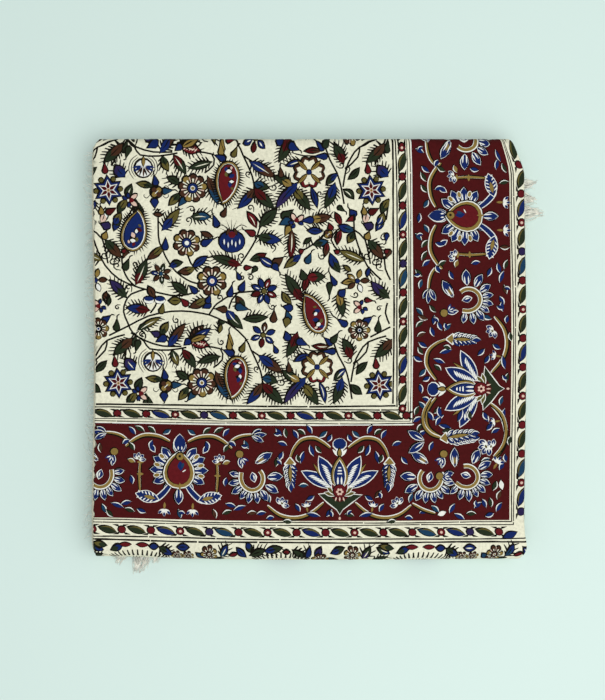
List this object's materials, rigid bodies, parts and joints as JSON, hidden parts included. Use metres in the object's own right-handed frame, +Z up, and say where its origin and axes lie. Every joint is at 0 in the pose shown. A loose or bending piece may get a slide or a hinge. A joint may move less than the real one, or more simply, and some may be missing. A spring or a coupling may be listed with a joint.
{
  "type": "folded tablecloth",
  "caption": "Block-printed cotton tablecloth with fringed ends, folded in half twice each way into a flat square pack that lies on a surface.",
  "frame": {"origin": "on the surface that the pack lies on, under the middle of the pack", "axes": "+Z up; +X to the pack's right, the side with the lengthwise fold of the border strip; -Y to the front, the side with the large round fold; the loose fringed edges are at -X"},
  "size_m": [0.3767, 0.3565, 0.0272],
  "materials": {
    "printed_cotton": "matt printed cotton, cream ground with maroon, indigo, ochre and black",
    "fringe_cotton": "matt undyed cotton threads"
  },
  "bodies": {
    "root": {"cloth": "printed_cotton", "fringe_edge_outer": "fringe_cotton", "fringe_edge_inner": "fringe_cotton", "fringe_lock_right": "fringe_cotton", "fringe_lock_front": "fringe_cotton"}
  },
  "joints": []
}
